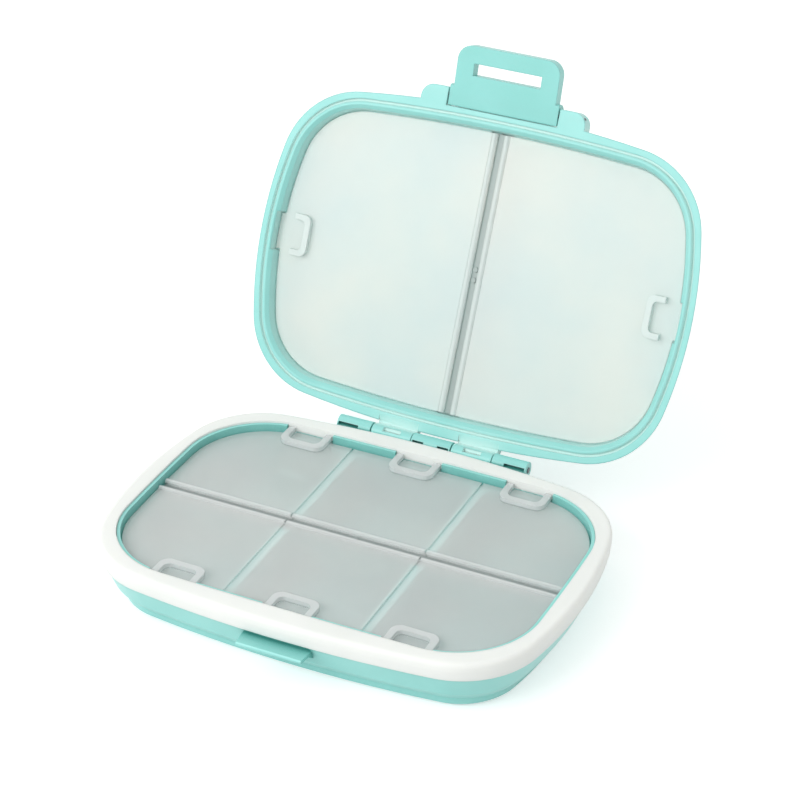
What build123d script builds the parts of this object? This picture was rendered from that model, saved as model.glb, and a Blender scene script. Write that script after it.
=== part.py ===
from build123d import *
from collections import namedtuple
import math
import os

# Weekly pill box: a shallow hinged case of eight compartments, shown with its lid standing open.
# Millimetres. X runs along the case, Y from the latch to the hinge, Z up from the table.
# The origin is the middle of the base's flat foot. The lid is modelled closed over the base,
# and then turned open about the hinge pin.

# Plan of the case: the ring on the rim and the lid's flange share it
case_length = 122.0
case_width = 86.2
case_corner = 22.0
case_side_bow = 5.8
case_end_bow = 8.5

# Plan of the opening inside the ring
ring_end_wide = 4.75
ring_side_wide = 5.75
well_length = case_length - 2 * ring_end_wide
well_width = case_width - 2 * ring_side_wide
well_corner = 22.1
well_side_bow = 0.9
well_end_bow = 1.2

# Plan of the groove in the lid's rim, along the middle of its width
groove_end_inset = 1.9
groove_side_inset = 3.0
rim_length = case_length - 2 * groove_end_inset
rim_width = case_width - 2 * groove_side_inset
rim_corner = 20.9
rim_side_bow = 3.2
rim_end_bow = 8.1

# Base shell
ring_top = 17.3
shoulder_inset = 0.7
belly_inset = 3.2
belly_height = 6.0
waist_inset = 5.5
waist_height = 3.3
heel_inset = 6.0
heel_height = 1.3
foot_inset = 7.5
floor_thick = 1.8
lip_thick = 0.85
lip_drop = 0.5
pocket_inset = 1.9
pocket_round = 4.0
middle_wall = 3.4
cross_wall = 3.0

# Silicone ring
ring_height = 5.0
ring_band = 2.4
ring_skirt = 1.5
ring_lip_inset = 0.3
ring_round = 1.1
round_steps = 3
ring_play = 0.1

# Flaps and the strips that carry them
flap_thick = 1.0
flap_drop = 2.4
flap_gap = 0.5
flap_edge_play = 0.4
flap_rest_play = 0.1
bead_radius = 0.9
bead_offset = 1.75
bead_sink = 0.35
bead_play = 0.05
strip_half = 3.0
strip_under = 0.65
strip_channel = 0.4
keel_wide = 1.2
keel_deep = 2.2
keel_play = 0.05
gate_radius = 0.7
gate_height = 0.4
gate_pitch = 2.8
middle_flap_share = 0.329
flap_split = well_length * middle_flap_share / 2

# Raised finger grip at the free edge of each flap
grip_wide = 12.4
grip_deep = 7.2
grip_wall = 1.8
grip_height = 1.5
grip_round = 2.6
grip_offset = 12.7
grip_pitch = flap_split + grip_offset
tab_play = 0.25
notch_play = 0.4
lid_grip_wide = 11.2
lid_grip_deep = 4.8
lid_grip_wall = 1.6
lid_grip_round = 2.0
lid_grip_back = 4.7
lid_tab_wide = 9.6
lid_tab_inset = 1.8

# Lid shell
lid_gap = 0.25
lid_height = 13.5
lid_flange = 1.6
lid_flange_inset = 0.7
lid_side_inset = 2.2
lid_side_height = 6.5
lid_brow_inset = 4.2
lid_brow_height = 10.3
lid_crown_inset = 6.6
lid_crown_height = 12.6
lid_top_inset = 9.0
lid_roof = 1.6
rib_drop = 0.1
rib_crest = 0.9
rib_bevel = 0.3
rib_inner_inset = 2.2
groove_wide = 0.7
groove_deep = 0.9
lid_flap_level = 3.4
lid_ledge_inset = 2.65
lid_pocket_inset = 4.6
lid_flap_play = 0.35
lid_wall = 3.4

# Hinge at the back
hinge_reach = 2.3
hinge_drop = 1.75
knuckle_radius = 2.0
base_knuckle_radius = 2.2
middle_knuckle = 11.3
lid_knuckle_long = 11.65
end_knuckle = 9.8
knuckle_play = 0.3
knuckle_rise = 3.6
relief_inset = 2.1
relief_deep = 0.5
pin_radius = 0.8
pin_fit = 0.01
pin_play = 0.06
leg_share = 0.36
leg_deep = 8.0
leg_thick = 2.4
leg_slope = 1.2
slot_end = 0.35
slot_low = 0.5
slot_high = 1.4
recess_long = 5.0
recess_wide = 1.0
recess_deep = 1.0
recess_place = 1.2
lid_open_angle = 115.7

# Latch at the front
latch_reach = 1.6
latch_rise = 1.45
latch_barrel = 2.9
latch_half_width = 15.2
latch_face = 1.2
latch_thick = 3.1
latch_length = 13.55
latch_plate_half = 14.2
latch_corner = 3.8
latch_rest_angle = 8.0
window_half = 9.4
window_near = 5.95
window_far = 9.1
ear_gap = 0.35
ear_outer = 22.9
ear_thick = 4.2
ear_depth = 3.4
ear_root = 1.5
ear_shoulder = 0.9
latch_pin_radius = 0.75
latch_pin_sink = 0.6
latch_notch_play = 0.25

# Catch tongue under the ring
tongue_half = 9.0
tongue_drop = 6.2
tongue_thick = 1.0
tongue_reach = 3.4
tongue_edge = 0.3
tongue_root = 2.5
tongue_draft = 0.35


class Oblong:
    """A rounded oblong of eight tangent arcs. Insets move every arc inwards alike."""

    def __init__(self, length, width, corner, side_bow, end_bow):
        self.length = length
        self.corner = corner
        self.side_radius = ((length / 2) ** 2 + side_bow**2) / (2 * side_bow)
        self.end_radius = ((width / 2) ** 2 + end_bow**2) / (2 * end_bow)
        self.side_centre = Vector(0, width / 2 - self.side_radius)
        self.end_centre = Vector(length / 2 - self.end_radius, 0)
        # The corner arc's centre lies on a circle round each of the other two centres
        from_side = self.side_radius - corner
        from_end = self.end_radius - corner
        apart = self.end_centre - self.side_centre
        along = (from_side**2 - from_end**2 + apart.length**2) / (2 * apart.length)
        across = math.sqrt(from_side**2 - along**2)
        ahead = apart.normalized()
        self.corner_centre = self.side_centre + ahead * along + Vector(ahead.Y, -ahead.X) * across

    def face(self, inset, z=0.0):
        """The filled outline at height z, with every arc moved inwards."""
        c = self.corner_centre
        side_point = c + (c - self.side_centre).normalized() * (self.corner - inset)
        end_point = c + (c - self.end_centre).normalized() * (self.corner - inset)
        corner_mid = c + ((side_point + end_point) * 0.5 - c).normalized() * (self.corner - inset)
        side_mid = self.side_centre + Vector(0, self.side_radius - inset)
        end_mid = self.end_centre + Vector(self.end_radius - inset, 0)

        def at(point, sx, sy):
            return Vector(point.X * sx, point.Y * sy, z)

        edges = []
        for sx, sy in ((1, 1), (-1, 1), (-1, -1), (1, -1)):
            ends = (at(end_point, sx, sy), at(corner_mid, sx, sy), at(side_point, sx, sy))
            edges.append(ThreePointArc(*ends))
        for sy in (1, -1):
            edges.append(ThreePointArc(at(side_point, 1, sy), at(side_mid, 1, sy), at(side_point, -1, sy)))
        for sx in (1, -1):
            edges.append(ThreePointArc(at(end_point, sx, 1), at(end_mid, sx, 1), at(end_point, sx, -1)))
        return make_face(Wire(edges))

    def slab(self, inset, low, high):
        """The outline as a plate between two heights."""
        return extrude(self.face(inset, low), amount=high - low, dir=(0, 0, 1))


case = Oblong(case_length, case_width, case_corner, case_side_bow, case_end_bow)
well = Oblong(well_length, well_width, well_corner, well_side_bow, well_end_bow)
rim = Oblong(rim_length, rim_width, rim_corner, rim_side_bow, rim_end_bow)
# The lid's strip runs across the case, so its flaps are drawn on the outline turned a quarter
turned_rim = Oblong(rim_width, rim_length, rim_corner, rim_end_bow, rim_side_bow)

# Heights worked out from the sizes above
flap_top = ring_top - flap_drop
ledge_top = flap_top - flap_thick - flap_rest_play
strip_base = bead_sink + bead_radius + bead_play + strip_under
middle_wall_top = flap_top - strip_base
shoulder_top = ring_top - ring_height
rim_top = ring_top - ring_band
flange_low = ring_top + lid_gap
lid_top = flange_low + lid_height
lid_flap_face = ring_top + lid_flap_level
lid_ledge = lid_flap_face + flap_thick + flap_rest_play
rib_low = flange_low - rib_drop
rib_inset = groove_wide / 2
hinge_y = case_width / 2 + hinge_reach
hinge_z = ring_top - hinge_drop
latch_y = -case_width / 2 - latch_reach
latch_z = ring_top + latch_rise
hinge_half_length = end_knuckle + lid_knuckle_long + middle_knuckle / 2

Grip = namedtuple("Grip", "wide deep wall corner back tab_wide tab_inset")
base_grip = Grip(grip_wide, grip_deep, grip_wall, grip_round, 0.0, grip_wide, tab_play)
lid_grip = Grip(
    lid_grip_wide,
    lid_grip_deep,
    lid_grip_wall,
    lid_grip_round,
    lid_grip_back,
    lid_tab_wide,
    lid_tab_inset,
)
beyond = case_length


def bar(low, high):
    """A box between two corners."""
    size = [b - a for a, b in zip(low, high)]
    middle = [(a + b) / 2 for a, b in zip(low, high)]
    return Pos(*middle) * Box(*size)


def rod(radius, x_low, x_high, y, z):
    """A cylinder along X."""
    place = Pos((x_low + x_high) / 2, y, z) * Rot(0, 90, 0)
    return place * Cylinder(radius, x_high - x_low)


def side_profile(points, x_low, x_high):
    """A closed outline of (y, z) points, drawn out along X."""
    outline = Polyline(*[(x_low, y, z) for y, z in points], close=True)
    return extrude(make_face(outline), amount=x_high - x_low, dir=(1, 0, 0))


def banded(outline, profile):
    """A body whose outline steps in and out by (inset, height) pairs, with straight bands between."""
    return loft([outline.face(inset, height) for inset, height in profile], ruled=True)


def is_on_edge(vertex, x_low, x_high, y_low, y_high):
    """True for a corner that lies on the rectangle's border."""
    on_x = min(abs(vertex.X - x_low), abs(vertex.X - x_high)) < 0.01
    on_y = min(abs(vertex.Y - y_low), abs(vertex.Y - y_high)) < 0.01
    return on_x or on_y


def pocket(outline, inset, cell, low, high):
    """A compartment: the part of an outline inside a rectangle, with its corners rounded."""
    x_low, x_high, y_low, y_high = cell
    window = Pos((x_low + x_high) / 2, (y_low + y_high) / 2) * Rectangle(
        x_high - x_low, y_high - y_low
    )
    plan = outline.face(inset) & window
    sharp = [v for v in plan.vertices() if is_on_edge(v, *cell)]
    return extrude(Pos(0, 0, low) * fillet(sharp, pocket_round), amount=high - low)


def strip(half_length, gate_places):
    """The strip between two rows of flaps, its flaps' faces at z = 0, its length along X."""
    axis = -bead_sink
    under = -strip_base
    channel_floor = axis - strip_channel
    side = [
        (bead_offset, channel_floor),
        (bead_offset, -flap_thick - flap_rest_play),
        (strip_half, -flap_thick - flap_rest_play),
        (strip_half, under),
        (keel_wide / 2, under),
        (keel_wide / 2, under - keel_deep),
    ]
    outline = side + [(-y, z) for y, z in reversed(side)]
    body = side_profile(outline, -half_length, half_length)
    for place in (-bead_offset, bead_offset):
        body -= rod(bead_radius + bead_play, -beyond, beyond, place, axis)
    for place in gate_places:
        body += Pos(place, 0, channel_floor) * Cylinder(
            gate_radius, gate_height, align=(Align.CENTER, Align.CENTER, Align.MIN)
        )
    return body


def raised_grip(grip, centre, edge):
    """The raised U at a flap's free edge, open outwards, for a flap towards +Y."""
    outer = Pos(centre, edge) * Rectangle(grip.wide, 2 * grip.deep)
    inner = Pos(centre, edge) * Rectangle(
        grip.wide - 2 * grip.wall, 2 * (grip.deep - grip.wall)
    )
    outer = fillet([v for v in outer.vertices() if v.Y < edge], grip.corner)
    inner = fillet([v for v in inner.vertices() if v.Y < edge], grip.corner - grip.wall / 2)
    kept = Pos(centre, edge - grip.deep / 2) * Rectangle(grip.wide, grip.deep)
    return extrude((outer - inner) & kept, amount=grip_height + flap_thick / 2)


def flap(outline, edge_inset, left, right, grip, centre):
    """A flap towards +Y with its face at z = 0, its bead along X and its grip at the far edge."""
    window = Pos((left + right) / 2, bead_offset + beyond / 2) * Rectangle(right - left, beyond)
    plan = outline.face(edge_inset) & window
    reach = outline.face(grip.tab_inset)
    tab_window = Pos(centre, beyond / 2 + bead_offset) * Rectangle(grip.tab_wide, beyond)
    plate = extrude(plan + (reach & tab_window), amount=-flap_thick)
    edge = max(v.Y for v in reach_points(outline, grip.tab_inset, centre)) - grip.back
    lift = Pos(0, 0, -flap_thick / 2) * raised_grip(grip, centre, edge)
    lift &= extrude(reach, amount=2 * grip_height)
    end = outline.length / 2 - edge_inset - bead_play
    bead = rod(bead_radius, max(left, -end), min(right, end), bead_offset, -bead_sink)
    return plate + lift + bead


def reach_points(outline, inset, x):
    """Where the outline's far side stands beside a grip's centre."""
    line = Pos(x, beyond / 2) * Rectangle(flap_thick, beyond)
    return (outline.face(inset) & line).vertices()


def build_ring():
    """The silicone ring: a flat band with a skirt that wraps the rim."""
    round_foot = ring_top - ring_round
    profile = [(ring_lip_inset, shoulder_top), (0, rim_top), (0, round_foot)]
    for step in range(1, round_steps + 1):
        angle = math.pi / 2 * step / round_steps
        inset = ring_round * (1 - math.cos(angle))
        profile.append((inset, round_foot + ring_round * math.sin(angle)))
    band = banded(case, profile) - case.slab(ring_skirt, shoulder_top - 1, rim_top)
    return band - well.slab(0, shoulder_top - 1, ring_top + 1)


def flap_cells():
    """Names and X limits of the flaps in one row, and where each grip stands."""
    split = flap_split
    return {
        "left": (-beyond, -split, -grip_pitch),
        "middle": (-split, split, 0.0),
        "right": (split, beyond, grip_pitch),
    }


def build_base():
    """The base shell: tapered outside, rim and lip, six compartments, tongue and hinge knuckles."""
    profile = [
        (foot_inset, 0),
        (heel_inset, heel_height),
        (waist_inset, waist_height),
        (belly_inset, belly_height),
        (shoulder_inset, shoulder_top),
    ]
    shell = banded(case, profile)
    shell += case.slab(ring_skirt + ring_play, shoulder_top - 1, rim_top)
    shell += well.slab(ring_play, rim_top - 1, ring_top - lip_drop)
    shell -= well.slab(ring_play + lip_thick, ledge_top, ring_top + 1)
    # The finger grips reach out to the ring through notches in the lip
    for _, _, centre in flap_cells().values():
        half = grip_wide / 2 + notch_play
        shell -= bar((centre - half, -well_width, ledge_top), (centre + half, well_width, ring_top)) & (
            well.slab(ring_play, ledge_top, ring_top)
        )
    for x_low, x_high, _ in flap_cells().values():
        x_in = x_low + cross_wall / 2
        x_out = x_high - cross_wall / 2
        for y_low, y_high in ((middle_wall / 2, beyond), (-beyond, -middle_wall / 2)):
            cell = (x_in, x_out, y_low, y_high)
            shell -= pocket(well, pocket_inset, cell, floor_thick, ledge_top)
    seat = strip_half + notch_play / 2
    reach = well_length / 2 - ring_play - lip_thick
    shell -= bar((-reach, -seat, middle_wall_top), (reach, seat, ring_top)) & well.slab(
        ring_play + lip_thick, middle_wall_top, ring_top
    )
    slot = keel_wide / 2 + keel_play
    slot_length = strip_half_length + keel_play
    shell -= bar(
        (-slot_length, -slot, middle_wall_top - keel_deep - keel_play),
        (slot_length, slot, middle_wall_top + 1),
    )
    shell += tongue()
    for x_low, x_high, leg in knuckles(0):
        shell += base_knuckle(x_low, x_high, leg)
    for x_low, x_high, leg in knuckles(0):
        for slot_left, slot_right in ((x_low + slot_end, leg[0]), (leg[1], x_high - slot_end)):
            if slot_right - slot_left > slot_high:
                shell -= bar(
                    (slot_left, hinge_y - base_knuckle_radius, hinge_z + slot_low),
                    (slot_right, hinge_y, hinge_z + slot_high),
                )
    return shell - rod(pin_radius + pin_fit, -beyond, beyond, hinge_y, hinge_z)


def tongue():
    """The catch under the ring, a flat shelf that the latch's window drops over."""
    edge = -case_width / 2
    front = edge - tongue_reach
    high = ring_top - tongue_drop
    low = high - tongue_thick
    points = [
        (front + tongue_edge, high),
        (front, high - tongue_edge),
        (front, low + tongue_edge),
        (front + tongue_edge, low),
        (edge, low),
        (edge + belly_inset, low - tongue_root),
        (edge + belly_inset, high),
    ]
    body = side_profile(points, -tongue_half, tongue_half)
    # The sides draw in towards the front
    plan = Polyline(
        (-tongue_half, edge + belly_inset),
        (-tongue_half, edge),
        (-tongue_half + tongue_draft, front),
        (tongue_half - tongue_draft, front),
        (tongue_half, edge),
        (tongue_half, edge + belly_inset),
        close=True,
    )
    return body & extrude(make_face(plan), amount=ring_top)


def knuckles(start):
    """X limits of every second knuckle, and where its leg stands within it."""
    lengths = [end_knuckle, lid_knuckle_long, middle_knuckle, lid_knuckle_long, end_knuckle]
    found = []
    for i in range(start, len(lengths), 2):
        low = -hinge_half_length + sum(lengths[:i]) + knuckle_play / 2
        high = low + lengths[i] - knuckle_play
        leg = (high - low) * leg_share
        # The legs of the outer knuckles stand at their inner ends
        side = i / (len(lengths) - 1) * 2 - 1
        middle = (low + high) / 2 - side * ((high - low) - leg) / 2
        found.append((low, high, (middle - leg / 2, middle + leg / 2)))
    return found


def base_knuckle(x_low, x_high, leg):
    """A barrel on the base's back wall, carried on a narrower leg."""
    y, z = hinge_y, hinge_z
    r = base_knuckle_radius
    wall = case_width / 2 - waist_inset
    inner = case_width / 2 + ring_play / 2
    under = shoulder_top - ring_play / 2
    points = [
        (inner, z),
        (inner, under),
        (wall, under),
        (wall, z - leg_deep),
        (wall + leg_thick, z - leg_deep),
        (y + r, z - r - leg_slope),
        (y + r, z),
    ]
    return rod(r, x_low, x_high, y, z) + side_profile(points, leg[0], leg[1])


def lid_knuckle(x_low, x_high):
    """A barrel on the lid's back wall, with the lid closed, and a shallow recess in its underside."""
    y, z = hinge_y, hinge_z
    r = knuckle_radius
    edge = case_width / 2
    points = [
        (y - r, z),
        (y - r, flange_low + relief_deep),
        (edge - relief_inset, flange_low + relief_deep),
        (edge - relief_inset, flange_low + knuckle_rise),
        (y, z + knuckle_rise),
        (y + r, z + r / 2),
        (y + r, z),
    ]
    body = rod(r, x_low, x_high, y, z) + side_profile(points, x_low, x_high)
    middle = (x_low + x_high) / 2
    surface = z - math.sqrt(r**2 - recess_place**2)
    return body - bar(
        (middle - recess_long / 2, y - recess_place - recess_wide / 2, z - 2 * r),
        (middle + recess_long / 2, y - recess_place + recess_wide / 2, surface + recess_deep),
    )


def knuckle_relief(x_low, x_high):
    """The wedge cut from the flange in front of a lid knuckle, which clears the ring."""
    edge = case_width / 2
    points = [
        (edge - relief_inset, flange_low),
        (edge, flange_low + relief_deep),
        (edge + hinge_reach - knuckle_radius, flange_low + relief_deep),
        (edge + hinge_reach - knuckle_radius, flange_low - 1),
        (edge - relief_inset, flange_low - 1),
    ]
    return side_profile(points, x_low, x_high)


def build_lid():
    """The lid shell, closed over the base: flange, groove, rib, two compartments, ears, knuckles."""
    profile = [
        (0, flange_low),
        (lid_flange_inset, flange_low + lid_flange),
        (lid_side_inset, flange_low + lid_side_height),
        (lid_brow_inset, flange_low + lid_brow_height),
        (lid_crown_inset, flange_low + lid_crown_height),
        (lid_top_inset, lid_top),
    ]
    shell = banded(case, profile)
    crest = [
        (rib_inset + rib_bevel, rib_low),
        (rib_inset, rib_low + rib_bevel),
        (rib_inset, flange_low + lid_flange),
    ]
    shell -= rim.slab(-groove_wide / 2, flange_low - 1, flange_low + groove_deep)
    shell += banded(rim, crest)
    shell -= banded(
        rim,
        [
            (rib_inset + rib_crest, rib_low),
            (rib_inner_inset, flange_low + rib_crest),
            (lid_ledge_inset, lid_flap_face),
            (lid_ledge_inset, lid_ledge),
        ],
    )
    for x_low, x_high in ((lid_wall / 2, beyond), (-beyond, -lid_wall / 2)):
        cell = (x_low, x_high, -beyond, beyond)
        shell -= pocket(rim, lid_pocket_inset, cell, lid_ledge, lid_top - lid_roof)
    shell -= lid_tab_notches()
    strip_seat = lid_flap_face + strip_base
    seat = strip_half + notch_play / 2
    shell -= bar((-seat, -beyond, lid_flap_face), (seat, beyond, strip_seat)) & rim.slab(
        lid_ledge_inset, lid_flap_face, strip_seat
    )
    slot = keel_wide / 2 + keel_play
    slot_length = lid_strip_half_length + keel_play
    shell -= bar(
        (-slot, -slot_length, strip_seat - 1),
        (slot, slot_length, strip_seat + keel_deep + keel_play),
    )
    for x_low, x_high, _ in knuckles(1):
        shell -= knuckle_relief(x_low, x_high)
        shell += lid_knuckle(x_low, x_high)
    shell -= rod(pin_radius + pin_play, -beyond, beyond, hinge_y, hinge_z)
    shell -= rod(
        latch_barrel + latch_notch_play,
        -latch_half_width - ear_gap,
        latch_half_width + ear_gap,
        latch_y,
        latch_z,
    )
    for side in (-1, 1):
        shell += ear(side)
    return shell - rod(latch_pin_radius + pin_fit, -pin_half, pin_half, latch_y, latch_z)


def lid_tab_notches():
    """Where the rim's inner wall makes room for the two flaps' grips to reach out and swing."""
    half = lid_tab_wide / 2 + notch_play
    across = bar((-beyond, -half, flange_low - 1), (beyond, half, lid_ledge))
    return across & rim.slab(lid_tab_inset - tab_play, flange_low - 1, lid_ledge)


def ear(side):
    """A rounded lug beside the latch that holds one end of its pin."""
    inner = latch_half_width + ear_gap
    front = -case_width / 2 - ear_depth
    back = -case_width / 2 + ear_root
    plan = Pos((inner + ear_outer) / 2 * side, (front + back) / 2) * Rectangle(
        ear_outer - inner, back - front
    )
    corner = [v for v in plan.vertices() if v.Y < back - 1 and abs(v.X) > inner + 1]
    plan = fillet(corner, ear_depth)
    return extrude(Pos(0, 0, flange_low) * plan, amount=ear_thick, dir=(0, 0, 1))


def build_latch():
    """The latch in line with the lid: a barrel on the pin and a plate with a window."""
    y, z = latch_y, latch_z
    face = z - latch_face
    back = face + latch_thick
    end = y - latch_length
    reach = math.sqrt(latch_barrel**2 - latch_face**2)
    body = rod(latch_barrel, -latch_half_width, latch_half_width, y, z)
    body &= bar((-beyond, y - latch_barrel, face), (beyond, y + reach, z + latch_barrel))
    # The plate leaves the barrel at a tangent on its outer side
    plate = side_profile(
        [(y, face), (end, face), (end, back), (y - latch_barrel, back), (y, z + latch_barrel)],
        -latch_plate_half,
        latch_plate_half,
    )
    far = [e for e in plate.edges().filter_by(Axis.Z) if abs(e.center().Y - end) < 0.01]
    body += fillet(far, latch_corner)
    body -= bar((-window_half, y - window_far, face - 1), (window_half, y - window_near, back + 1))
    body -= rod(latch_pin_radius + pin_play, -beyond, beyond, y, z)
    return body.rotate(Axis((0, y, z), (1, 0, 0)), latch_rest_angle)


strip_half_length = well_length / 2 - ring_play - lip_thick - flap_edge_play
lid_strip_half_length = rim_width / 2 - lid_ledge_inset - lid_flap_play
pin_half = ear_outer - latch_pin_sink

hinge = Axis((0, hinge_y, hinge_z), (1, 0, 0))


def opened(shape):
    """Turn a piece of the closed lid open about the hinge pin."""
    return shape.rotate(hinge, -lid_open_angle)


def build_base_flaps():
    """Six flaps, three towards the hinge and three towards the latch."""
    flaps = {}
    inset = ring_play + lip_thick + flap_edge_play
    for name, (x_low, x_high, centre) in flap_cells().items():
        left = max(x_low + flap_gap / 2, -well_length / 2)
        right = min(x_high - flap_gap / 2, well_length / 2)
        piece = flap(well, inset, left, right, base_grip, centre)
        flaps["flap_back_" + name] = Pos(0, 0, flap_top) * piece
        flaps["flap_front_" + name] = Pos(0, 0, flap_top) * piece.mirror(Plane.XZ)
    return flaps


def build_lid_flaps():
    """Two flaps, one on each side of the lid's strip, faces down with the lid closed."""
    flaps = {}
    half = rim_width / 2
    inset = lid_ledge_inset + lid_flap_play
    for name, turn in (("left", 90), ("right", -90)):
        piece = flap(turned_rim, inset, -half, half, lid_grip, 0.0)
        face_down = Rot(180, 0, 0) * (Rot(0, 0, turn) * piece)
        flaps["lid_flap_" + name] = opened(Pos(0, 0, lid_flap_face) * face_down)
    return flaps


def build_all():
    """Every piece by its node name."""
    pieces = {
        "base_shell": build_base(),
        "seal_ring": build_ring(),
        "base_flap_strip": Pos(0, 0, flap_top) * strip(strip_half_length, [0]),
        "hinge_pin": rod(pin_radius, -hinge_half_length, hinge_half_length, hinge_y, hinge_z),
        "lid_shell": opened(build_lid()),
        "latch": opened(build_latch()),
        "latch_pin": opened(rod(latch_pin_radius, -pin_half, pin_half, latch_y, latch_z)),
    }
    gates = [-gate_pitch / 2, gate_pitch / 2]
    lid_strip = Rot(180, 0, 0) * (Rot(0, 0, 90) * strip(lid_strip_half_length, gates))
    pieces["lid_flap_strip"] = opened(Pos(0, 0, lid_flap_face) * lid_strip)
    pieces.update(build_base_flaps())
    pieces.update(build_lid_flaps())
    return pieces


os.makedirs("parts", exist_ok=True)
for name, piece in build_all().items():
    export_step(piece, "parts/" + name + ".step")
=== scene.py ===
import math

import bmesh
import bpy
from bpy.props import FloatProperty, FloatVectorProperty, PointerProperty
from mathutils import Matrix, Vector


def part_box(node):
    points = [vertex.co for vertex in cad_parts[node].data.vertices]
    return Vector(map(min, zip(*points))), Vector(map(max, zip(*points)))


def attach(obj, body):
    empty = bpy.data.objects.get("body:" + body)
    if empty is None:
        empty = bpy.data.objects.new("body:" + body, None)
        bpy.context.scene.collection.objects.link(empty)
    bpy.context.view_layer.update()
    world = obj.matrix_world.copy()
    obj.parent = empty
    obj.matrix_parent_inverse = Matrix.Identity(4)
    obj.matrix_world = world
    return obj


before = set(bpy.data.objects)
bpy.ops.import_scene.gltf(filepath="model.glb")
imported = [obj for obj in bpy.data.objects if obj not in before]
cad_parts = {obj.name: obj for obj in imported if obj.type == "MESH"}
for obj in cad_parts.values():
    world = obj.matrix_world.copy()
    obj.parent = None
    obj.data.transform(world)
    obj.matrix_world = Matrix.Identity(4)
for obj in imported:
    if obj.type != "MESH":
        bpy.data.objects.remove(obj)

bl_info = {
    "name": "Weekly pill box",
    "version": (1, 0, 0),
    "blender": (4, 5, 0),
    "location": "View3D > Sidebar > Pill box",
    "description": "Finishes a hinged weekly pill box and sets it on a pale studio floor",
    "category": "Object",
}

# One millimetre in the frame's metres
MM = 0.001

# The ways that the flaps look, in the base and in the open lid, and how far along each of them
# the faces of their sheets lie
UP = (0.0, 0.0, 1.0)
LID_INWARD = (0.0, -0.9011, 0.4337)
LEVELS = {UP: 14.9 * MM, LID_INWARD: -39.31 * MM}

# Raised plastic begins this far above a sheet's face, and has its full look this far above it
RAISED_FROM = 0.05 * MM
RAISED_TO = 0.5 * MM

# A sheet's narrow edge and its broad face, told apart by how squarely they look along its way
EDGE_TURN = 0.2
FACE_TURN = 0.6

# Painted shade and glow in hollows: how much open round a place has where it is wholly in a
# hollow, and where it is clear of one, and how far off a wall still counts
HOLLOW_OPEN = 0.45
CLEAR_OPEN = 0.95
HOLLOW_REACH = 25 * MM

# Refractive indices
POLYPROPYLENE_IOR = 1.49
SILICONE_IOR = 1.41

# The rounding of the moulded edges. The base's is small, because a wider one would draw dark
# lines where its corner wells come through the wall at the foot
SOFT_EDGE = 0.4 * MM
BASE_EDGE = 0.08 * MM

# Points this close to a height are at it, and the foot band stands this far inside the shell
NEAR = 0.05 * MM
# Points this close to each other are one
SAME_POINT = 0.001 * MM
# Faces that turn by less than this are one flat face
FLAT_ANGLE = math.radians(0.2)
# Edges that turn by more than this stay crisp
CRISP_ANGLE = math.radians(20)
# A face is level where its normal rises by more than this
LEVEL_RISE = 0.9

SENSOR_WIDTH = 36
CLIP_START = 0.01
CLIP_END = 20


def linear(code):
    """An sRGB hex colour as the linear values that Blender's sockets hold."""
    channels = [int(code[i : i + 2], 16) / 255 for i in (1, 3, 5)]
    curve = [c / 12.92 if c <= 0.04045 else ((c + 0.055) / 1.055) ** 2.4 for c in channels]
    return (*curve, 1.0)


def colour_property(name, description, code):
    """A colour that a user may change, held as linear values."""
    return FloatVectorProperty(
        name=name,
        description=description,
        default=linear(code),
        subtype="COLOR",
        size=4,
        min=0,
        max=1,
    )


def length_property(name, description, default):
    """A length that a user may change."""
    return FloatProperty(
        name=name, description=description, default=default, subtype="DISTANCE", unit="LENGTH"
    )


def place_property(name, description, default):
    """A place in the frame that a user may change."""
    return FloatVectorProperty(
        name=name, description=description, default=default, subtype="TRANSLATION", unit="LENGTH"
    )


def share_property(name, description, default):
    """A share from none to all that a user may change."""
    return FloatProperty(
        name=name, description=description, default=default, min=0, max=1, subtype="FACTOR"
    )


def angle_property(name, description, degrees):
    """An angle that a user may change."""
    return FloatProperty(
        name=name, description=description, default=math.radians(degrees), subtype="ANGLE"
    )


# Camera


class PILLBOX_PG_camera(bpy.types.PropertyGroup):
    place: place_property("Place", "Where the camera stands", (0.23958, -0.47872, 0.38441))
    azimuth: angle_property(
        "Azimuth", "How far the camera stands round to the right of the front", 25.424
    )
    elevation: angle_property("Elevation", "How far the camera looks down", 31.629)
    roll: angle_property("Roll", "Turn of the picture about the line of sight", 0.216)
    lens: FloatProperty(
        name="Lens",
        description="Focal length on a 36 mm wide sensor",
        default=118.09,
        subtype="DISTANCE_CAMERA",
    )


class PILLBOX_OT_camera(bpy.types.Operator):
    """Stand the camera at the photograph's viewpoint"""

    bl_idname = "pillbox.camera"
    bl_label = "Camera"

    def execute(self, context):
        p = context.scene.pillbox_camera
        a, e, roll = p.azimuth, p.elevation, p.roll
        back = Vector((math.sin(a) * math.cos(e), -math.cos(a) * math.cos(e), math.sin(e)))
        level = Vector((math.cos(a), math.sin(a), 0))
        up = back.cross(level)
        right = math.cos(roll) * level + math.sin(roll) * up
        upward = -math.sin(roll) * level + math.cos(roll) * up
        data = bpy.data.cameras.new("Camera")
        data.sensor_width = SENSOR_WIDTH
        data.lens = p.lens
        data.clip_start = CLIP_START
        data.clip_end = CLIP_END
        camera = bpy.data.objects.new("Camera", data)
        turn = Matrix((right, upward, back)).transposed().to_4x4()
        camera.matrix_world = Matrix.Translation(Vector(p.place)) @ turn
        context.scene.collection.objects.link(camera)
        context.scene.camera = camera
        return {"FINISHED"}


# Materials


def shade(owner, kind, settings=None, links=None):
    """Add one shader node with its settings, and join sockets of other nodes to its inputs.

    A setting is one of the node's own or, by name or number, an input's value.
    """
    made = owner.node_tree.nodes.new(kind)
    for name, value in (settings or {}).items():
        if isinstance(name, int) or name in made.inputs:
            made.inputs[name].default_value = value
        else:
            setattr(made, name, value)
    for name, source in (links or {}).items():
        owner.node_tree.links.new(source, made.inputs[name])
    return made


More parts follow.
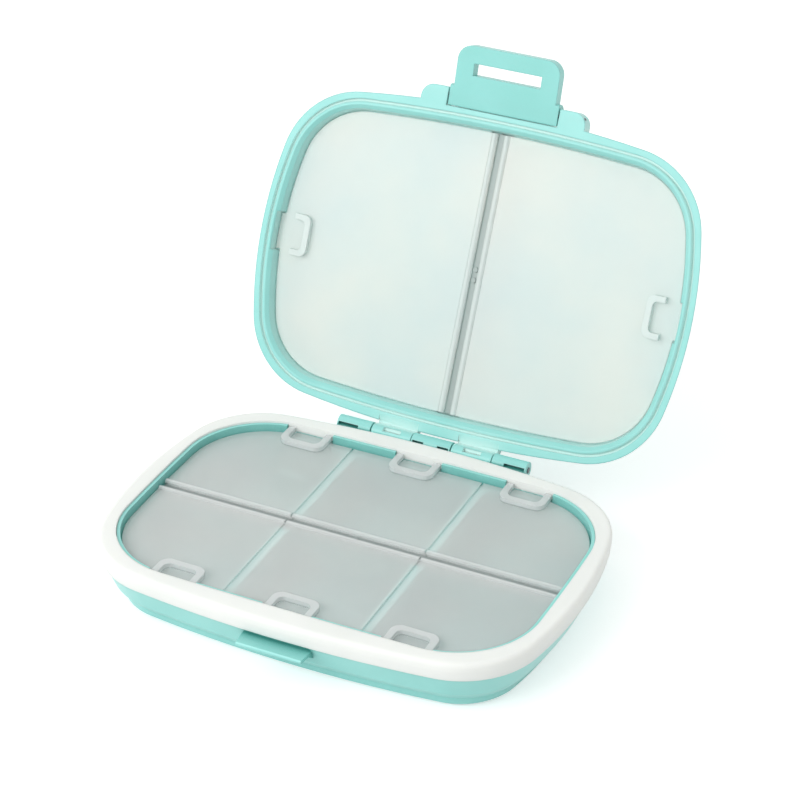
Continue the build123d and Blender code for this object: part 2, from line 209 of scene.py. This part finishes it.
def new_material(name):
    """A node material with no nodes yet."""
    material = bpy.data.materials.new(name)
    material.use_nodes = True
    material.node_tree.nodes.clear()
    return material


def grained_colour(material, place, first, second, size):
    """A slow drift between two near colours, its patches about size metres across."""
    drift = shade(
        material, "ShaderNodeTexNoise", {"Scale": 1 / size, "Detail": 3.0}, {"Vector": place}
    )
    ramp = shade(material, "ShaderNodeValToRGB", links={"Fac": drift.outputs["Fac"]})
    for end, position, colour in zip(ramp.color_ramp.elements, (0.35, 0.65), (first, second)):
        end.position = position
        end.color = colour
    return ramp.outputs["Color"]


def painted_in_hollows(material, colour, hollow):
    """Painted shade and glow: a colour turned to another in hollows, where less open round is
    seen.
    """
    seen = shade(
        material,
        "ShaderNodeAmbientOcclusion",
        {"samples": 6, "only_local": True, "Distance": HOLLOW_REACH},
    ).outputs["AO"]
    share = shade(
        material,
        "ShaderNodeMapRange",
        {"From Min": HOLLOW_OPEN, "From Max": CLEAR_OPEN},
        {"Value": seen},
    ).outputs["Result"]
    return shade(
        material, "ShaderNodeMixRGB", {"Color1": hollow}, {"Fac": share, "Color2": colour}
    ).outputs["Color"]


def fine_bump(material, place, size, height, strength, edge):
    """A fine moulded texture, its grains about size metres across, on edges rounded by edge."""
    grain = shade(
        material, "ShaderNodeTexNoise", {"Scale": 1 / size, "Detail": 2.0}, {"Vector": place}
    )
    rounded = shade(material, "ShaderNodeBevel", {"samples": 4, "Radius": edge})
    return shade(
        material,
        "ShaderNodeBump",
        {"Strength": strength, "Distance": height},
        {"Height": grain.outputs["Fac"], "Normal": rounded.outputs["Normal"]},
    ).outputs["Normal"]


def along(material, vector, direction):
    """How far a vector reaches in a fixed direction."""
    return shade(
        material, "ShaderNodeVectorMath", {"operation": "DOT_PRODUCT", 1: direction}, {0: vector}
    ).outputs["Value"]


def mint_polypropylene(name, first, second, hollow, edge):
    """Injection-moulded polypropylene: a soft satin, with light sunk a little into thin walls."""
    material = new_material(name)
    place = shade(material, "ShaderNodeTexCoord").outputs["Object"]
    drift = grained_colour(material, place, first, second, size=14 * MM)
    # The hollow colour is painted into its hollows: painted shade in the base, a painted glow in
    # the lid
    colour = painted_in_hollows(material, drift, hollow)
    normal = fine_bump(
        material, place, size=0.35 * MM, height=0.01 * MM, strength=0.35, edge=edge
    )
    surface = shade(
        material,
        "ShaderNodeBsdfPrincipled",
        {
            "Roughness": 0.3,
            "IOR": POLYPROPYLENE_IOR,
            "Subsurface Weight": 0.12,
            "Subsurface Scale": 2 * MM,
            "Subsurface Radius": (0.6, 1.0, 1.0),
        },
        {"Base Color": colour, "Normal": normal},
    )
    shade(material, "ShaderNodeOutputMaterial", links={"Surface": surface.outputs["BSDF"]})
    return material


def white_silicone(look):
    """Moulded silicone rubber: matt white, light sinks in a little so its edges stay soft."""
    material = new_material("White moulded silicone")
    place = shade(material, "ShaderNodeTexCoord").outputs["Object"]
    colour = grained_colour(material, place, look.ring, look.ring_deep, size=20 * MM)
    normal = fine_bump(
        material, place, size=0.3 * MM, height=0.01 * MM, strength=0.3, edge=0.5 * MM
    )
    surface = shade(
        material,
        "ShaderNodeBsdfPrincipled",
        {
            "Roughness": 0.5,
            "IOR": SILICONE_IOR,
            "Subsurface Weight": 0.25,
            "Subsurface Scale": 3 * MM,
            "Subsurface Radius": (1.0, 1.0, 0.9),
        },
        {"Base Color": colour, "Normal": normal},
    )
    shade(material, "ShaderNodeOutputMaterial", links={"Surface": surface.outputs["BSDF"]})
    return material


def frosted_polypropylene(look, name, tints, milk, outward):
    """Unpigmented polypropylene with a fine frost: a milky haze, whiter where it stands thick.

    The tints are the sheet's two and that of its raised plastic, and outward is its way to look.
    """
    material = new_material(name)
    first, second, raised_tint = tints
    coordinate = shade(material, "ShaderNodeTexCoord").outputs
    place = coordinate["Object"]
    # The raised grips and the strips' beads are thicker plastic than the flap's sheet
    level = LEVELS[outward]
    thick = shade(
        material,
        "ShaderNodeMapRange",
        {"From Min": level + RAISED_FROM, "From Max": level + RAISED_TO},
        {"Value": along(material, place, outward)},
    ).outputs["Result"]
    drift = grained_colour(material, place, first, second, size=30 * MM)
    colour = shade(
        material, "ShaderNodeMixRGB", {"Color2": raised_tint}, {"Fac": thick, "Color1": drift}
    ).outputs["Color"]
    # The sheet's narrow edges have no frost, and let light into the gaps
    facing = shade(
        material,
        "ShaderNodeMath",
        {"operation": "ABSOLUTE"},
        {0: along(material, coordinate["Normal"], outward)},
    ).outputs[0]
    sheet = shade(
        material,
        "ShaderNodeMapRange",
        {"From Min": EDGE_TURN, "From Max": FACE_TURN, "To Min": look.edge_milk, "To Max": milk},
        {"Value": facing},
    ).outputs["Result"]
    raised = shade(
        material, "ShaderNodeMapRange", {"To Max": look.grip_milk}, {"Value": thick}
    ).outputs["Result"]
    haze = shade(
        material, "ShaderNodeMath", {"operation": "MAXIMUM"}, {0: sheet, 1: raised}
    ).outputs[0]
    normal = fine_bump(
        material, place, size=0.5 * MM, height=0.02 * MM, strength=0.2, edge=0.3 * MM
    )
    surface = shade(
        material,
        "ShaderNodeBsdfPrincipled",
        {"Roughness": 0.24, "IOR": POLYPROPYLENE_IOR, "Transmission Weight": 0.25},
        {"Base Color": colour, "Alpha": haze, "Normal": normal},
    )
    shade(material, "ShaderNodeOutputMaterial", links={"Surface": surface.outputs["BSDF"]})
    return material


def drawn_steel(look):
    """Drawn stainless steel wire: fine scratches run along the pin."""
    material = new_material("Drawn stainless steel")
    place = shade(material, "ShaderNodeTexCoord").outputs["Object"]
    # The pins lie along X, so the grains are stretched that way
    drawn = shade(
        material, "ShaderNodeMapping", {"Scale": (0.05, 1.0, 1.0)}, {"Vector": place}
    ).outputs["Vector"]
    normal = fine_bump(
        material, drawn, size=0.1 * MM, height=0.005 * MM, strength=0.3, edge=0.1 * MM
    )
    # Its colour is painted shade: dark enough that the pins read as the shade in the knuckle slots
    surface = shade(
        material,
        "ShaderNodeBsdfPrincipled",
        {"Base Color": look.steel, "Metallic": 1.0, "Roughness": 0.3},
        {"Normal": normal},
    )
    shade(material, "ShaderNodeOutputMaterial", links={"Surface": surface.outputs["BSDF"]})
    return material


def dress(names, material):
    """Give CAD nodes one material."""
    for name in names:
        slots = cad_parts[name].data.materials
        slots.clear()
        slots.append(material)


class PILLBOX_PG_look(bpy.types.PropertyGroup):
    mint: colour_property("Mint", "Main colour of the two shells", "#97dad5")
    mint_deep: colour_property(
        "Deep mint", "Colour that the shells drift to, and the latch's main one", "#90d5d0"
    )
    latch_mint: colour_property("Latch mint", "Mint that the latch drifts to", "#8bd1cb")
    # Painted shade: the base darkens to this in its wells, grooves and crevices, where little open
    # round is seen
    base_hollow_shade: colour_property("Base hollow", "Mint inside the base, in its shade", "#43978f")
    # Painted light: the lid's pockets lighten to this, a painted glow for light coming through its
    # roof
    lid_hollow_glow: colour_property("Lid hollow", "Mint in the lid, lit through its roof", "#d6f2ee")
    ring: colour_property("Ring", "Main colour of the rim's ring", "#f1f3f0")
    ring_deep: colour_property("Ring shade", "Colour that the ring drifts to", "#ecefec")
    flap: colour_property("Flap", "Tint of the flaps over the base", "#fafcfb")
    flap_shade: colour_property("Flap shade", "Tint that the base flaps drift to", "#f2f7f7")
    lid_flap: colour_property("Lid flap", "Tint of the flaps in the lid", "#fafdf8")
    lid_flap_shade: colour_property("Lid flap shade", "Tint that they drift to", "#eff9f8")
    grip: colour_property("Grip", "Tint of the grips and beads over the base", "#eceff0")
    lid_grip: colour_property("Lid grip", "Tint of the grips and beads in the lid", "#eaf4f2")
    # Painted shade: the strips' sheets are tinted darker, so the channels between the beads read
    # as shaded
    channel: colour_property("Channel", "Tint between the beads of the base's strip", "#b5bdbc")
    lid_shaded_channel: colour_property("Lid channel", "Tint between the lid strip's beads", "#c6d4d1")
    milk: share_property("Milk", "How much of the light the base's flaps scatter", 0.48)
    # Painted light: the lid's flaps, the same plastic as the base's, scatter more and read paler,
    # for light from behind through the lid
    lid_milk_and_glow: share_property("Lid milk", "How much of the light the lid's flaps scatter", 0.66)
    strip_milk: share_property("Strip milk", "How much of the light the strips scatter", 0.8)
    grip_milk: share_property("Grip milk", "How much of the light raised plastic scatters", 0.78)
    edge_milk: share_property("Edge milk", "How much of the light a narrow edge scatters", 0.25)
    # Painted shade: the pins' steel is made dark, so the slots in the knuckles where they show
    # read as shade
    steel: colour_property("Steel", "Colour of the pins", "#5c6164")


class PILLBOX_OT_shells(bpy.types.Operator):
    """Finish the base, the lid and the latch in mint polypropylene"""

    bl_idname = "pillbox.shells"
    bl_label = "Shells and latch"

    def execute(self, context):
        look = context.scene.pillbox_look
        # Each takes two drift colours, its hollow colour (painted shade in the base, a painted
        # glow in the lid, the latch's deep mint) and its edge rounding
        finishes = {
            "base": ("base_shell", look.mint, look.mint_deep, look.base_hollow_shade, BASE_EDGE),
            "lid": ("lid_shell", look.mint, look.mint_deep, look.lid_hollow_glow, SOFT_EDGE),
            "latch": ("latch", look.mint_deep, look.latch_mint, look.mint_deep, SOFT_EDGE),
        }
        for part, (node, *finish) in finishes.items():
            dress((node,), mint_polypropylene(f"Mint polypropylene of the {part}", *finish))
        return {"FINISHED"}


class PILLBOX_PG_foot(bpy.types.PropertyGroup):
    low: length_property("Foot wall low", "Height of its lower edge", 1.3 * MM)
    high: length_property("Waist", "Height of the shell's waist", 3.3 * MM)
    thickness: length_property("Foot wall", "Thickness of the wall at the foot", 0.6 * MM)
    rise: length_property("Rise", "How far the band runs above the waist", 0.6 * MM)
    lean: length_property("Lean", "How far it leans out on the way", 0.4 * MM)


def select_faces(band, is_wanted):
    """In edit mode, select the faces that a test picks and nothing else."""
    mesh = bmesh.from_edit_mesh(band.data)
    for face in mesh.faces:
        face.select_set(False)
    for face in mesh.faces:
        if is_wanted(face):
            face.select_set(True)


class PILLBOX_OT_foot_wall(bpy.types.Operator):
    """Close the wall at the base's foot, where the corner wells come through it"""

    bl_idname = "pillbox.foot_wall"
    bl_label = "Foot wall"

    def execute(self, context):
        p = context.scene.pillbox_foot
        half = Vector(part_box("base_shell")[1])
        bpy.ops.object.select_all(action="DESELECT")
        band = bpy.data.objects.new("FootWall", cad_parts["base_shell"].data.copy())
        context.scene.collection.objects.link(band)
        band.select_set(True)
        context.view_layer.objects.active = band
        bpy.ops.object.mode_set(mode="EDIT")
        bpy.ops.mesh.select_mode(type="VERT")
        bpy.ops.mesh.select_all(action="SELECT")
        bpy.ops.mesh.remove_doubles(threshold=SAME_POINT)
        mesh = bmesh.from_edit_mesh(band.data)
        for vertex in mesh.verts:
            vertex.select_set(not p.low - NEAR < vertex.co.z < p.high + NEAR)
        mesh.select_flush(True)
        bpy.ops.mesh.delete(type="VERT")
        # What is left at those heights spans the outer wall's own form
        bpy.ops.mesh.select_all(action="SELECT")
        bpy.ops.mesh.convex_hull(use_existing_faces=False)
        bpy.ops.mesh.select_all(action="SELECT")
        bpy.ops.mesh.dissolve_limited(angle_limit=FLAT_ANGLE)
        # Its top and bottom are opened, which leaves a wall
        bpy.ops.mesh.select_mode(type="FACE")
        select_faces(band, lambda face: abs(face.normal.z) > LEVEL_RISE)
        bpy.ops.mesh.inset(thickness=p.thickness, depth=0)
        bpy.ops.mesh.bridge_edge_loops()
        # The band runs a little above the waist, and leans out with the shell's wall there
        select_faces(band, lambda face: face.normal.z > LEVEL_RISE)
        bpy.ops.mesh.extrude_region_move(TRANSFORM_OT_translate={"value": (0, 0, p.rise)})
        spread = (1 + p.lean / half.x, 1 + p.lean / half.y, 1)
        bpy.ops.transform.resize(value=spread, center_override=(0, 0, 0))
        bpy.ops.mesh.select_all(action="SELECT")
        bpy.ops.mesh.normals_make_consistent(inside=False)
        # It stands just inside the shell's face, so that the two never fight for it
        shrink = (1 - NEAR / half.x, 1 - NEAR / half.y, 1)
        bpy.ops.transform.resize(value=shrink, center_override=(0, 0, 0))
        bpy.ops.object.mode_set(mode="OBJECT")
        bpy.ops.mesh.customdata_custom_splitnormals_clear()
        bpy.ops.object.shade_smooth_by_angle(angle=CRISP_ANGLE)
        band.data.materials.clear()
        band.data.materials.append(bpy.data.materials["Mint polypropylene of the base"])
        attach(band, "base")
        return {"FINISHED"}


class PILLBOX_OT_ring(bpy.types.Operator):
    """Finish the rim's ring in white silicone"""

    bl_idname = "pillbox.ring"
    bl_label = "Seal ring"

    def execute(self, context):
        dress(("seal_ring",), white_silicone(context.scene.pillbox_look))
        return {"FINISHED"}


class PILLBOX_OT_flaps(bpy.types.Operator):
    """Finish the eight flaps and their strips in frosted polypropylene"""

    bl_idname = "pillbox.flaps"
    bl_label = "Flaps and strips"

    def execute(self, context):
        look = context.scene.pillbox_look
        base_flaps = [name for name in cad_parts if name.startswith("flap")]
        lid_flaps = ("lid_flap_left", "lid_flap_right")
        tints = (look.flap, look.flap_shade, look.grip)
        dress(
            base_flaps, frosted_polypropylene(look, "Frosted polypropylene", tints, look.milk, UP)
        )
        # The lid's flaps are the same frosted plastic with more milk: painted light, paler for the
        # light through the lid behind them
        tints = (look.lid_flap, look.lid_flap_shade, look.lid_grip)
        dress(
            lid_flaps,
            frosted_polypropylene(look, "Frosted polypropylene with a painted glow", tints, look.lid_milk_and_glow, LID_INWARD),
        )
        # Each strip's sheet takes its channel tint, painted shade for the channel between its
        # beads
        strips = {
            "base": ("base_flap_strip", look.channel, look.grip, UP),
            "lid": ("lid_flap_strip", look.lid_shaded_channel, look.lid_grip, LID_INWARD),
        }
        for part, (node, channel, bead, outward) in strips.items():
            name = f"Polypropylene of the {part} strip"
            tints = (channel, channel, bead)
            dress((node,), frosted_polypropylene(look, name, tints, look.strip_milk, outward))
        return {"FINISHED"}


class PILLBOX_OT_pins(bpy.types.Operator):
    """Finish the hinge pin and the latch pin in drawn steel"""

    bl_idname = "pillbox.pins"
    bl_label = "Pins"

    def execute(self, context):
        dress(("hinge_pin", "latch_pin"), drawn_steel(context.scene.pillbox_look))
        return {"FINISHED"}


# Stage


class PILLBOX_PG_stage(bpy.types.PropertyGroup):
    floor_half: length_property("Floor half width", "Half the width of the studio floor", 3.0)
    glow: FloatProperty(
        name="Glow", description="White that the camera sees added to the paper", default=0.45
    )
    key_power: FloatProperty(
        name="Key power", description="Power of the large soft lamp", default=7.0, subtype="POWER"
    )
    key_width: length_property("Key width", "Width of the lamp", 0.9)
    key_height: length_property("Key height", "Height of the lamp", 0.7)
    key_place: place_property("Key place", "Where the lamp hangs", (-0.5, -0.82, 0.72))
    key_aim: place_property("Key aim", "Where the lamp looks", (0, 0.02, 0.02))
    fill: FloatProperty(
        name="Fill", description="Strength of the light from all round", default=0.85, min=0, max=2
    )


def seen_directly(owner):
    """One for rays from the camera, and for those that metal and clear plastic pass on."""
    path = shade(owner, "ShaderNodeLightPath").outputs
    seen = path["Is Camera Ray"]
    for ray in ("Is Glossy Ray", "Is Transmission Ray"):
        seen = shade(
            owner, "ShaderNodeMath", {"operation": "MAXIMUM"}, {0: seen, 1: path[ray]}
        ).outputs[0]
    return seen


def white_paper(glow):
    """Matt white paper: it takes the soft shadow, and reads white to the eye."""
    material = new_material("White studio paper")
    paper = shade(material, "ShaderNodeBsdfDiffuse", {"Color": linear("#e6e6e6")}).outputs[0]
    light = shade(
        material, "ShaderNodeEmission", {"Color": linear("#ffffff"), "Strength": glow}
    ).outputs[0]
    both = shade(material, "ShaderNodeAddShader", links={0: paper, 1: light}).outputs[0]
    mix = shade(
        material, "ShaderNodeMixShader", links={0: seen_directly(material), 1: paper, 2: both}
    )
    shade(material, "ShaderNodeOutputMaterial", links={"Surface": mix.outputs[0]})
    return material


class PILLBOX_OT_stage(bpy.types.Operator):
    """Lay the pale floor and hang the soft studio lights"""

    bl_idname = "pillbox.stage"
    bl_label = "Stage"

    def execute(self, context):
        p = context.scene.pillbox_stage
        context.scene.view_settings.view_transform = "Standard"
        bpy.ops.object.select_all(action="DESELECT")
        bpy.ops.mesh.primitive_plane_add(size=2 * p.floor_half, location=(0, 0, 0))
        floor = context.object
        floor.name = "StudioFloor"
        floor.data.materials.append(white_paper(p.glow))

        world = bpy.data.worlds.new("Studio")
        context.scene.world = world
        world.use_nodes = True
        world.node_tree.nodes.clear()
        soft = shade(
            world, "ShaderNodeBackground", {"Color": linear("#f8f8f6"), "Strength": p.fill}
        ).outputs[0]
        white = shade(
            world, "ShaderNodeBackground", {"Color": linear("#ffffff"), "Strength": 1.0}
        ).outputs[0]
        mix = shade(
            world, "ShaderNodeMixShader", links={0: seen_directly(world), 1: soft, 2: white}
        )
        shade(world, "ShaderNodeOutputWorld", links={"Surface": mix.outputs[0]})

        lamp = bpy.data.lights.new("KeyLight", "AREA")
        lamp.shape = "RECTANGLE"
        lamp.size = p.key_width
        lamp.size_y = p.key_height
        lamp.energy = p.key_power
        key = bpy.data.objects.new("KeyLight", lamp)
        place = Vector(p.key_place)
        turn = (place - Vector(p.key_aim)).to_track_quat("Z", "Y").to_matrix().to_4x4()
        key.matrix_world = Matrix.Translation(place) @ turn
        context.scene.collection.objects.link(key)
        return {"FINISHED"}


class PILLBOX_PT_panel(bpy.types.Panel):
    """The pill box's steps, in the sidebar"""

    bl_idname = "PILLBOX_PT_panel"
    bl_label = "Pill box"
    bl_space_type = "VIEW_3D"
    bl_region_type = "UI"
    bl_category = "Pill box"

    def draw(self, context):
        for operator in OPERATORS:
            self.layout.operator(operator.bl_idname)
        for name in GROUPS:
            group = getattr(context.scene, name)
            for key in group.bl_rna.properties.keys():
                if key not in ("rna_type", "name"):
                    self.layout.prop(group, key)


GROUPS = {
    "pillbox_camera": PILLBOX_PG_camera,
    "pillbox_look": PILLBOX_PG_look,
    "pillbox_foot": PILLBOX_PG_foot,
    "pillbox_stage": PILLBOX_PG_stage,
}
OPERATORS = (
    PILLBOX_OT_camera,
    PILLBOX_OT_shells,
    PILLBOX_OT_foot_wall,
    PILLBOX_OT_ring,
    PILLBOX_OT_flaps,
    PILLBOX_OT_pins,
    PILLBOX_OT_stage,
)


def register():
    for name, group in GROUPS.items():
        bpy.utils.register_class(group)
        setattr(bpy.types.Scene, name, PointerProperty(type=group))
    for operator in OPERATORS:
        bpy.utils.register_class(operator)
    bpy.utils.register_class(PILLBOX_PT_panel)


def unregister():
    bpy.utils.unregister_class(PILLBOX_PT_panel)
    for operator in reversed(OPERATORS):
        bpy.utils.unregister_class(operator)
    for name, group in GROUPS.items():
        delattr(bpy.types.Scene, name)
        bpy.utils.unregister_class(group)


def main():
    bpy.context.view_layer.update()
    register()
    bpy.ops.pillbox.camera()
    bpy.ops.pillbox.shells()
    bpy.ops.pillbox.foot_wall()
    bpy.ops.pillbox.ring()
    bpy.ops.pillbox.flaps()
    bpy.ops.pillbox.pins()
    bpy.ops.pillbox.stage()


if __name__ == "__main__":
    main()
